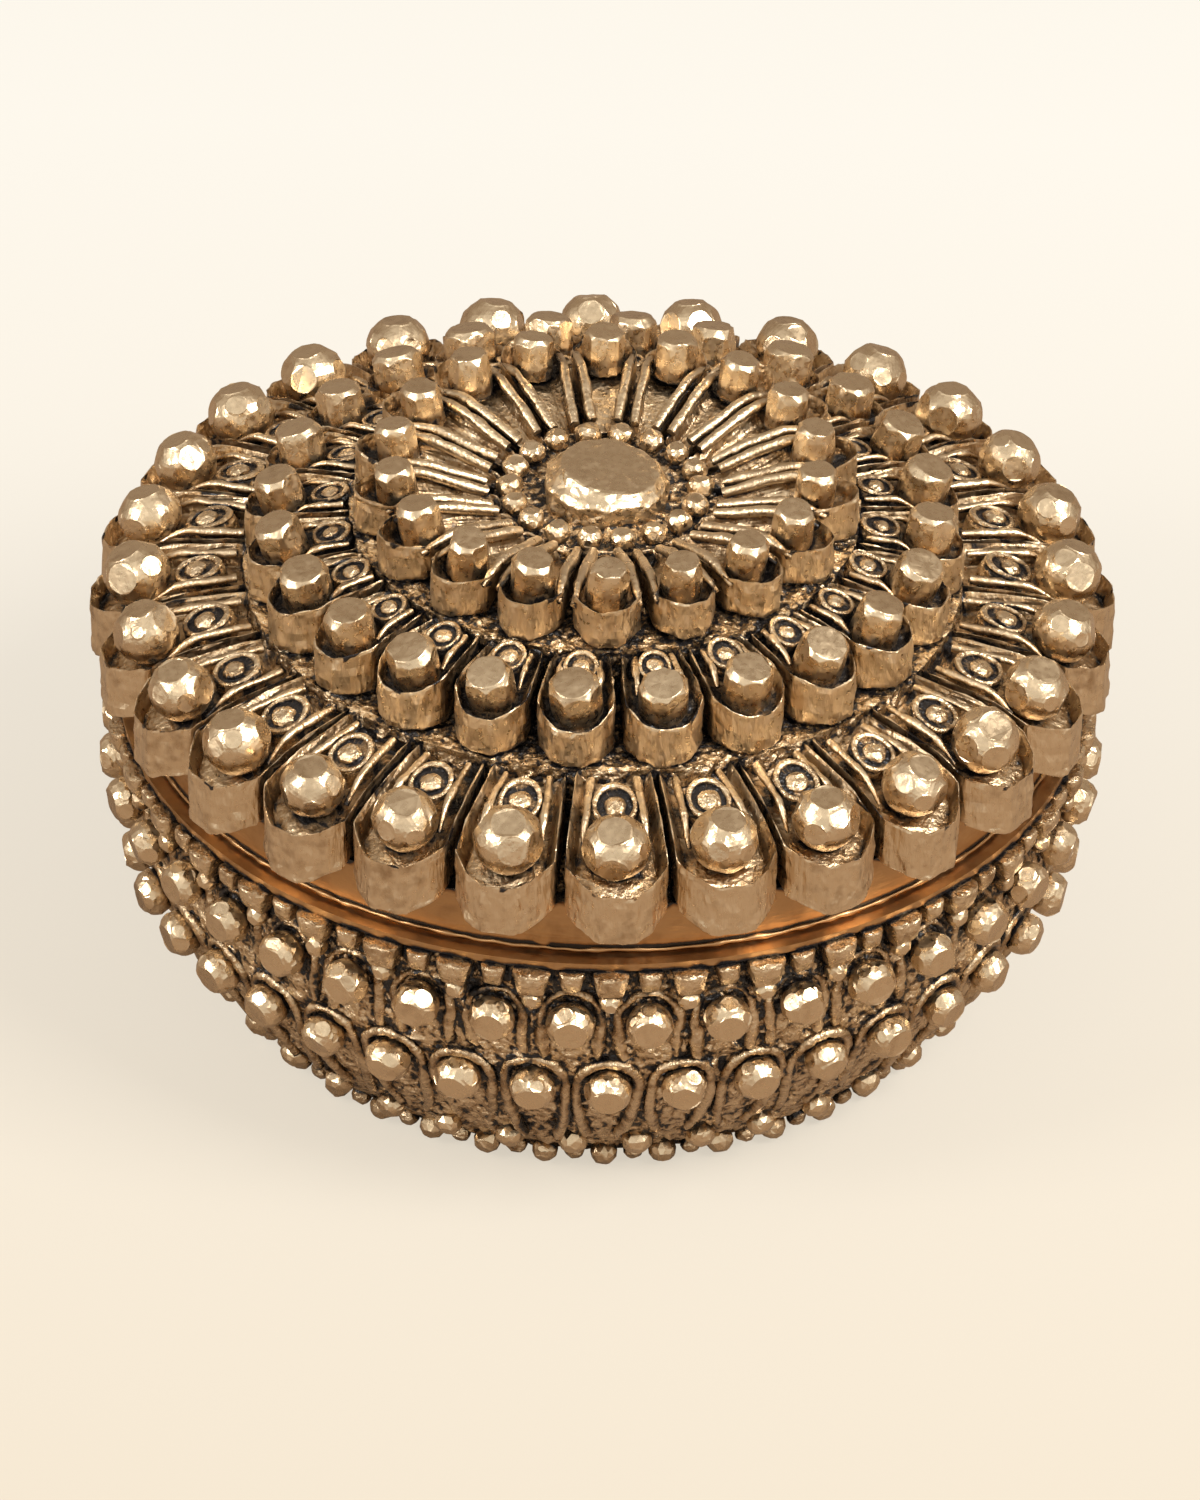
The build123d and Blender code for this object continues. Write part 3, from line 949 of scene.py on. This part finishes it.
@dataclass
class Teeth:
    """A ring of tapered teeth, filed so that each has a bevelled face."""

    node: str
    ring: Ring
    top: float
    tall: float
    wide: float
    taper: float
    rise: float
    seed: int = 1

    def build(self) -> Worn:
        """Builds the whole ring.

        Returns:
            The worn ring.
        """
        back = bowl_wall(self.top - self.tall) - 0.5 * MM
        front = bowl_wall(self.top) + self.rise
        low = (back, -self.wide / 2, self.top - self.tall)
        tooth = block(self.node, low, (front, self.wide / 2, self.top))
        with editing(tooth):
            for side in (1, -1):
                lean = self.wide * (1 - self.taper) / 2
                file_off((front, side * self.wide / 2, self.top), (0.0, side * self.tall, -lean))
                file_off((front, side * self.wide * 0.28, self.top), (1.0, side * 0.9, -0.15))
            file_off((front, 0.0, self.top - self.tall * 0.45), (1.0, 0.0, -0.55))
        round_off(tooth, 0.18 * MM)
        seat = Matrix.Translation((front, 0.0, self.top))
        row = self.ring.set_round(self.node, [tooth], self.seed, seat, sway=3.0, swell=0.05)
        roughen(row.shape, depth=0.22 * MM, grain=1.2 * MM)
        return row


@dataclass
class Turning:
    """A piece that was turned on the lathe: its profile, steps and tool marks.

    The profile is cut into runs of about mesh. The surface moves by depth, at grain, and where
    worn is set, only there. Where seam_radius is set, a black line runs round at seam_height.
    """

    node: str
    profile: list[tuple[float, float]]
    steps: int = 240
    depth: float = 0.0
    grain: float = 2 * MM
    mesh: float = 1 * MM
    seam_radius: float = 0.0
    seam_height: float = 0.0
    worn: Callable[[float, float], bool] | None = None

    def build(self) -> Worn:
        """Turns the piece and lets its surface wear.

        Returns:
            The worn piece.
        """
        corners: list[tuple[float, float]] = []
        for start, end in zip(self.profile, self.profile[1:] + self.profile[:1]):
            span = math.dist(start, end)
            parts = max(1, round(span / self.mesh))
            if start[0] + end[0] == 0:
                parts = 1
            for part in range(parts):
                share = part / parts
                corners.append(tuple(a + (b - a) * share for a, b in zip(start, end)))
        piece = turned(self.node, corners, self.steps)
        if self.worn:
            group = piece.vertex_groups.new(name="worn")
            for vertex in piece.data.vertices:
                radius = math.hypot(vertex.co.x, vertex.co.y)
                if self.worn(radius, vertex.co.z):
                    group.add([vertex.index], 1.0, "REPLACE")
        if self.depth:
            roughen(piece, self.depth, self.grain, "worn" if self.worn else "")
        if self.seam_radius:
            piece = join(piece.name, [piece, self.lay_seam()])
        return Worn(self.node, piece, ((0, len(piece.data.vertices)),))

    def lay_seam(self) -> bpy.types.Object:
        """Lays the uneven dark line round the foot of the band.

        Returns:
            The line.
        """
        chance = random.Random(91)
        points: list[Point] = []
        thickness: list[float] = []
        for step in range(301):
            angle = 2 * math.pi * step / 300
            high = self.seam_height + chance.uniform(-0.1, 0.1) * MM
            sideways = self.seam_radius * math.sin(angle)
            points.append((self.seam_radius * math.cos(angle), sideways, high))
            thickness.append(chance.choice((0.14, 0.18, 0.2, 0.2, 0.18, 0.36)) * MM)
        return wire(self.node, points, thickness)


@dataclass(frozen=True)
class Lamp:
    """One soft square lamp that faces the box: its place and size in metres, and power in watts."""

    name: str
    place: Point
    size: float
    power: float
    colour: Colour

    def hang(self) -> None:
        """Hangs the lamp and turns it to the box."""
        data = bpy.data.lights.new(self.name, "AREA")
        data.size = self.size
        data.energy = self.power
        data.color = self.colour
        lamp = bpy.data.objects.new(self.name, data)
        bpy.context.scene.collection.objects.link(lamp)
        lamp.location = self.place
        aim = Vector((0.0, 0.0, 0.03)) - Vector(self.place)
        lamp.rotation_euler = aim.to_track_quat("-Z", "Y").to_euler()


@dataclass
class Studio:
    """The plain pale floor, the soft lamps and the camera.

    The camera is camera_distance from the middle of the lid's ring of studs, which is at
    ring_height. The floor's colour runs from floor_near to floor_far, and the world's from
    fill_front to fill_back. Light that comes off the floor onto the box has the colour bounce.
    """

    camera_distance: float = 0.8435
    camera_elevation: float = 34.16
    aim_drop: float = 1.213
    roll: float = 1.15
    lens: float = 203.98
    ring_height: float = 0.046
    floor_size: float = 4.0
    backdrop_glow: float = 0.78
    bounce: Colour = (0.29, 0.22, 0.165)
    floor_near: Colour = (0.76, 0.66, 0.515)
    floor_far: Colour = (0.9, 0.865, 0.79)
    fill_front: Colour = (1.0, 0.96, 0.9)
    fill_back: Colour = (0.44, 0.35, 0.27)
    fill_strength: float = 0.9
    lamps: tuple[Lamp, ...] = (
        Lamp("right_lamp", place=(0.45, -0.3, 0.6), size=0.36, power=7.0, colour=(1.0, 0.98, 0.95)),
        Lamp("left_lamp", place=(-0.6, -0.3, 0.45), size=0.25, power=3.4, colour=(1.0, 0.98, 0.96)),
    )

    def place_camera(self) -> None:
        """Puts the camera where the photograph's was, as the rings of studs show."""
        data = bpy.data.cameras.new("camera")
        data.lens = self.lens
        data.sensor_width = 36.0
        data.clip_start = 0.05
        camera = bpy.data.objects.new("camera", data)
        bpy.context.scene.collection.objects.link(camera)
        rise = math.radians(self.camera_elevation)
        away = Vector((0.0, -math.cos(rise), math.sin(rise))) * self.camera_distance
        tilt = math.radians(90.0 - self.camera_elevation - self.aim_drop)
        turn = Matrix.Rotation(tilt, 4, "X") @ Matrix.Rotation(math.radians(self.roll), 4, "Z")
        place = Matrix.Translation(away + Vector((0.0, 0.0, self.ring_height)))
        camera.matrix_world = place @ turn
        bpy.context.scene.camera = camera

    def lay_floor(self) -> None:
        """Lays the pale floor, which runs on past the frame like a paper backdrop."""
        bpy.ops.object.select_all(action="DESELECT")
        bpy.ops.mesh.primitive_plane_add(size=self.floor_size)
        floor = bpy.context.object
        floor.name = "floor"
        material = bpy.data.materials.new("floor_paper")
        material.use_nodes = True
        nodes = material.node_tree.nodes
        links = material.node_tree.links
        shader = nodes["Principled BSDF"]
        shader.inputs["Roughness"].default_value = 0.9
        shader.inputs["Specular IOR Level"].default_value = 0.0
        place = nodes.new("ShaderNodeTexCoord")
        split = nodes.new("ShaderNodeSeparateXYZ")
        links.new(place.outputs["Object"], split.inputs["Vector"])
        reach = nodes.new("ShaderNodeMapRange")
        reach.inputs["From Min"].default_value = -0.16
        reach.inputs["From Max"].default_value = 0.16
        links.new(split.outputs["Y"], reach.inputs["Value"])
        colours = nodes.new("ShaderNodeValToRGB")
        colours.color_ramp.elements[0].color = rgba(self.floor_near)
        colours.color_ramp.elements[1].color = rgba(self.floor_far)
        links.new(reach.outputs["Result"], colours.inputs["Fac"])
        glow = nodes.new("ShaderNodeEmission")
        links.new(colours.outputs["Color"], glow.inputs["Color"])
        seen = nodes.new("ShaderNodeLightPath")
        tint = nodes.new("ShaderNodeMix")
        tint.data_type = "RGBA"
        tint.inputs[6].default_value = rgba(self.bounce)
        links.new(seen.outputs["Is Camera Ray"], tint.inputs["Factor"])
        links.new(colours.outputs["Color"], tint.inputs[7])
        links.new(tint.outputs[2], shader.inputs["Base Color"])
        share = nodes.new("ShaderNodeMath")
        share.operation = "MULTIPLY"
        share.inputs[1].default_value = self.backdrop_glow
        links.new(seen.outputs["Is Camera Ray"], share.inputs[0])
        blend = nodes.new("ShaderNodeMixShader")
        links.new(share.outputs["Value"], blend.inputs["Fac"])
        links.new(shader.outputs["BSDF"], blend.inputs[1])
        links.new(glow.outputs["Emission"], blend.inputs[2])
        links.new(blend.outputs["Shader"], nodes["Material Output"].inputs["Surface"])
        floor.data.materials.append(material)

    def light_world(self) -> None:
        """Gives the world a plain soft fill."""
        world = bpy.data.worlds.new("soft_fill")
        world.use_nodes = True
        shade = world.node_tree.nodes["Background"]
        nodes = world.node_tree.nodes
        links = world.node_tree.links
        place = nodes.new("ShaderNodeTexCoord")
        split = nodes.new("ShaderNodeSeparateXYZ")
        links.new(place.outputs["Generated"], split.inputs["Vector"])
        colours = nodes.new("ShaderNodeValToRGB")
        colours.color_ramp.elements[0].position = 0.0
        colours.color_ramp.elements[0].color = rgba(self.fill_front)
        colours.color_ramp.elements[1].position = 1.0
        colours.color_ramp.elements[1].color = rgba(self.fill_back)
        reach = nodes.new("ShaderNodeMapRange")
        reach.inputs["From Min"].default_value = -0.3
        reach.inputs["From Max"].default_value = 0.6
        links.new(split.outputs["Y"], reach.inputs["Value"])
        links.new(reach.outputs["Result"], colours.inputs["Fac"])
        links.new(colours.outputs["Color"], shade.inputs["Color"])
        shade.inputs["Strength"].default_value = self.fill_strength
        bpy.context.scene.world = world

    def build(self) -> None:
        """Sets up the whole studio."""
        self.place_camera()
        self.lay_floor()
        self.light_world()
        for lamp in self.lamps:
            lamp.hang()
        bpy.context.scene.view_settings.view_transform = "Standard"


class Part(Protocol):
    """Anything that models one piece of the box."""

    def build(self) -> Worn:
        """Models the piece."""


@dataclass(frozen=True)
class Body:
    """One body of the box, which moves as a whole, and the parts that it is made of."""

    name: str
    parts: Sequence[Part]

    def dress(
        self, slots: dict[str, str], materials: dict[str, bpy.types.Material], tones: random.Random
    ) -> None:
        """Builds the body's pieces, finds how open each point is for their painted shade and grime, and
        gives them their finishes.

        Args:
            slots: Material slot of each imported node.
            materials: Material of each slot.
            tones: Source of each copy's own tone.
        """
        pieces = [part.build() for part in self.parts]
        shade_and_grime = ShadeAndGrime([piece.shape for piece in pieces])
        for piece in pieces:
            shade_and_grime.mark(piece, tones)
            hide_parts(piece.node)
            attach(piece.shape, self.name)
            piece.shape.data.materials.clear()
            piece.shape.data.materials.append(materials[slots[piece.node]])
            log.info("dressed %s: %d faces", piece.shape.name, len(piece.shape.data.polygons))


HOLLOW = 50.96 * MM
OUTER_TIER = Ring(count=28, phase=-87.8)
MIDDLE_TIER = Ring(count=24, phase=-94.2)
INNER_TIER = Ring(count=18, phase=-88.9)
COLLAR = Ring(count=18, phase=-78.9)
CENTRE = Ring(count=1, phase=0.0)
UNDER_TEETH = Ring(count=40, phase=-88.2)
BETWEEN_TEETH = Ring(count=40, phase=-88.2 + 4.5)


def in_metres(corners: Sequence[tuple[float, float]]) -> list[tuple[float, float]]:
    """Turns corners that are given in millimetres into metres."""
    return [(radius * MM, height * MM) for radius, height in corners]


def above_hollow(radius: float, height: float) -> bool:
    """Whether a point of the lid's dome is on its upper side."""
    return height > 53.1 * MM - HOLLOW + math.sqrt(HOLLOW**2 - radius**2)


def outside_bowl(radius: float, height: float) -> bool:
    """Whether a point of the bowl is on its outer side, above the foot."""
    return height > 0.2 * MM and radius > bowl_wall(height) - 1 * MM


def dome_profile() -> list[tuple[float, float]]:
    """Draws the lid's stepped dome, with the round hollow under it.

    Returns:
        Radius and height of each corner, going round once.
    """
    steps = [(0.0, 55.05), (11.0, 55.05), (11.0, 53.55), (25.2, 53.55), (25.2, 46.9), (35.6, 46.9)]
    rim = [(35.6, 39.1), (44.8, 39.1), (44.8, 37.0), (36.6, 37.0)]
    hollow = [
        (HOLLOW * math.sin(turn), 52.5 * MM - HOLLOW * (1 - math.cos(turn)))
        for turn in (0.72, 0.54, 0.36, 0.18)
    ]
    return in_metres(steps + rim) + hollow + [(0.0, 52.5 * MM)]


def shell_profile() -> list[tuple[float, float]]:
    """Draws the bowl: its foot, its round wall up to the rim, and its inside down to the flat floor.

    Returns:
        Radius and height of each corner, going round once.
    """
    outside = [(bowl_wall(step * 1.35 * MM), step * 1.35 * MM) for step in range(25)]
    inside = [(bowl_wall(step * 1.35 * MM) - 2.6 * MM, step * 1.35 * MM) for step in range(20, 2, -1)]
    floor = [(bowl_wall(2.7 * MM) - 4.4 * MM, 2.6 * MM), (0.0, 2.6 * MM)]
    return [(0.0, 0.0)] + outside + [(44.6 * MM, 32.4 * MM)] + inside + floor


def lid_parts() -> list[Part]:
    """Lists every part of the lid."""
    return [
        Petals(
            node="outer_petals", ring=OUTER_TIER, root=35.9 * MM, tip=50.8 * MM, seat=39.05 * MM,
            rim_root=7.8 * MM, rim_bow=7.4 * MM, rim_tip=4.3 * MM, trough=2.5 * MM, rib=1.0 * MM,
            toe_reach=1.3 * MM, toe_corner=0.7, lip_drop=1.5 * MM, lip_start=47.4 * MM,
            rib_end=44.5 * MM, seed=11,
        ),
        Petals(
            node="middle_petals", ring=MIDDLE_TIER, root=25.5 * MM, tip=35.7 * MM, seat=46.85 * MM,
            rim_root=6.7 * MM, rim_bow=6.6 * MM, rim_tip=4.9 * MM, trough=1.9 * MM, rib=0.75 * MM,
            toe_reach=1.1 * MM, toe_corner=0.7, rib_end=30.2 * MM, rib_inset=1.35 * MM,
            rib_size=0.36 * MM, seed=12,
        ),
        Petals(
            node="inner_petals", ring=INNER_TIER, root=11.3 * MM, tip=25.1 * MM, seat=53.55 * MM,
            rim_root=2.3 * MM, rim_bow=4.5 * MM, rim_tip=4.9 * MM, trough=2.2 * MM, rib=0.75 * MM,
            toe_reach=1.3 * MM, toe_corner=0.68, groove=0.9 * MM, rib_end=22.0 * MM,
            rib_inset=0.45 * MM, rib_drop=0.05 * MM, rib_size=0.55 * MM, seed=13,
        ),
        Nuggets(
            node="outer_studs", ring=OUTER_TIER, seat=Seat(46.2 * MM, 45.6 * MM, 19.2), radius=3.5 * MM,
            tall=0.98, crown=0.92, flats=6, fineness=4, seed=21,
        ),
        Nuggets(
            node="middle_studs", ring=MIDDLE_TIER, seat=Seat(32.1 * MM, 52.5 * MM, 16.0),
            radius=2.5 * MM, tall=0.85, post=True, seed=22,
        ),
        Nuggets(
            node="inner_studs", ring=INNER_TIER, seat=Seat(20.9 * MM, 58.3 * MM, 8.0), radius=2.15 * MM,
            tall=0.9, post=True, seed=23,
        ),
        Eyelets(
            node="outer_eyelets", ring=OUTER_TIER, seat=Seat(40.2 * MM, 45.2 * MM, 19.2),
            radius=2.2 * MM, bore=1.6 * MM, seed=24,
        ),
        Nuggets(
            node="outer_pips", ring=OUTER_TIER, seat=Seat(40.4 * MM, 46.0 * MM, 19.2), radius=1.35 * MM,
            tall=0.6, fineness=2, seed=25,
        ),
        Eyelets(
            node="middle_eyelets", ring=MIDDLE_TIER, seat=Seat(27.3 * MM, 52.3 * MM, 16.0),
            radius=1.75 * MM, bore=1.25 * MM, seed=26,
        ),
        Nuggets(
            node="middle_pips", ring=MIDDLE_TIER, seat=Seat(27.3 * MM, 53.1 * MM, 16.0),
            radius=1.05 * MM, tall=0.6, fineness=2, seed=27,
        ),
        Nuggets(
            node="collar_beads", ring=COLLAR, seat=Seat(9.4 * MM, 55.9 * MM, 0.0), radius=1.4 * MM,
            tall=0.95, hammered=0.5 * MM, seed=28,
        ),
        Nuggets(
            node="centre_boss", ring=CENTRE, seat=Seat(0.0, 55.4 * MM, 0.0), radius=6.5 * MM, tall=0.2,
            flats=9, post=True, edge=0.6 * MM, hammered=0.5 * MM, seed=29,
        ),
        Turning(
            node="lid_dome", profile=dome_profile(), steps=420, depth=1.1 * MM, grain=1.2 * MM,
            mesh=0.7 * MM, worn=above_hollow,
        ),
        Turning(
            node="lid_skirt_ring",
            profile=in_metres(
                [(40.8, 28.8), (42.5, 28.8), (42.5, 33.3), (46.1, 33.3), (46.5, 33.7)]
                + [(46.5, 39.0), (44.9, 39.0), (44.9, 37.0), (40.8, 37.0)]
            ),
            depth=0.05 * MM, seam_radius=46.6 * MM, seam_height=33.75 * MM,
        ),
    ]


def bowl_parts() -> list[Part]:
    """Lists every part of the bowl."""
    return [
        Nuggets(
            node="upper_studs", ring=BETWEEN_TEETH,
            seat=Seat.on_wall(26.1 * MM, out=1.35 * MM, level=26.1 * MM), radius=2.5 * MM, tall=0.92,
            crown=0.8, seed=31,
        ),
        Nuggets(
            node="lower_studs", ring=UNDER_TEETH,
            seat=Seat.on_wall(17 * MM, out=1.3 * MM, level=20 * MM), radius=2.45 * MM, tall=0.92,
            crown=0.8, seed=32,
        ),
        Nuggets(
            node="upper_beads", ring=UNDER_TEETH,
            seat=Seat.on_wall(28.6 * MM, out=0.8 * MM, level=28 * MM), radius=1.25 * MM, tall=0.95,
            fineness=2, seed=33,
        ),
        Nuggets(
            node="foot_beads", ring=BETWEEN_TEETH,
            seat=Seat.on_wall(5.6 * MM, out=0.5 * MM, level=8 * MM), radius=1.6 * MM, tall=0.9,
            fineness=2, seed=34,
        ),
        Nuggets(
            node="base_beads", ring=UNDER_TEETH,
            seat=Seat.on_wall(1.95 * MM, out=0.7 * MM, level=9 * MM), radius=1.5 * MM, tall=0.95,
            fineness=2, seed=35,
        ),
        Arches(
            node="upper_arches", ring=BETWEEN_TEETH, height=26.1 * MM, radius=2.8 * MM, spread=2.4 * MM,
            bottom=20.75 * MM, thickness=0.42 * MM, leg=0.62 * MM, stand=-0.12 * MM, seed=36,
        ),
        Arches(
            node="lower_arches", ring=UNDER_TEETH, height=17 * MM, radius=3.0 * MM, spread=1.6 * MM,
            bottom=7.4 * MM, thickness=0.55 * MM, leg=0.55 * MM, stand=0.12 * MM, seed=37,
        ),
        Teeth(
            node="rim_teeth_big", ring=UNDER_TEETH, top=32.35 * MM, tall=3.1 * MM, wide=3.9 * MM,
            taper=0.62, rise=2.75 * MM, seed=38,
        ),
        Teeth(
            node="rim_teeth_small", ring=BETWEEN_TEETH, top=32.35 * MM, tall=2.5 * MM, wide=2.6 * MM,
            taper=0.66, rise=2.2 * MM, seed=39,
        ),
        Nuggets(
            node="foot_blocks", ring=BETWEEN_TEETH,
            seat=Seat.on_wall(1.9 * MM, out=0.45 * MM, level=9 * MM), radius=1.15 * MM, tall=0.9,
            flats=5, fineness=2, seed=40,
        ),
        Turning(
            node="bowl_rim_ring",
            profile=in_metres(
                [(42.9, 28.3), (44.55, 28.3), (44.55, 32.4), (48.2, 32.4), (48.2, 33.2), (42.9, 33.2)]
            ),
            depth=0.12 * MM,
        ),
        Turning(
            node="bowl_shell", profile=shell_profile(), steps=440, depth=1.3 * MM, grain=1.1 * MM,
            mesh=0.75 * MM, worn=outside_bowl,
        ),
    ]


FINISHES = {
    "cast_brass": AgedAndShadedBrass(
        Rub.CAST,
        dark_until=0.52,
        bright_from=0.84,
        roughness=0.34,
        bump=0.6,
        streak=(1.0, 1.0, 0.2),
        relief=0.35 * MM,
    ),
    "polished_brass": AgedAndShadedBrass(
        Rub.POLISHED, dark_until=0.36, bright_from=0.8, mottle=0.16, bump=0.25, streak=(1.0, 0.3, 1.0)
    ),
    "turned_brass": AgedAndShadedBrass(
        Rub.TURNED,
        bright=(0.5, 0.3, 0.14),
        warm=(0.24, 0.12, 0.05),
        dark_until=0.5,
        bright_from=0.72,
        mottle=0.16,
        roughness=0.4,
        streak=(0.25, 0.25, 1.6),
    ),
    "trim_brass": AgedAndShadedBrass(
        Rub.FILED, dark_until=0.48, bright_from=0.95, mottle=0.45, bump=0.7, relief=0.4 * MM
    ),
    "patina_brass": AgedAndShadedBrass(
        Rub.PATINA, dark_until=0.58, bright_from=0.93, mottle=1.0, bump=0.8, patch=1300.0, relief=0.5 * MM
    ),
}


def main() -> None:
    """Dresses the whole box and reports each piece."""
    slots = {row["node"]: row["material_slot"] for row in frame["record"]["subparts"]}
    materials = {name: finish.build() for name, finish in FINISHES.items()}
    tones = random.Random(5)
    for body in (Body("lid", lid_parts()), Body("bowl", bowl_parts())):
        body.dress(slots, materials, tones)
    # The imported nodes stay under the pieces, hidden, and wear the same finishes.
    for name, node in frame["nodes"].items():
        node.data.materials.clear()
        node.data.materials.append(materials[slots[name]])
    Studio().build()


if __name__ == "__main__":
    main()
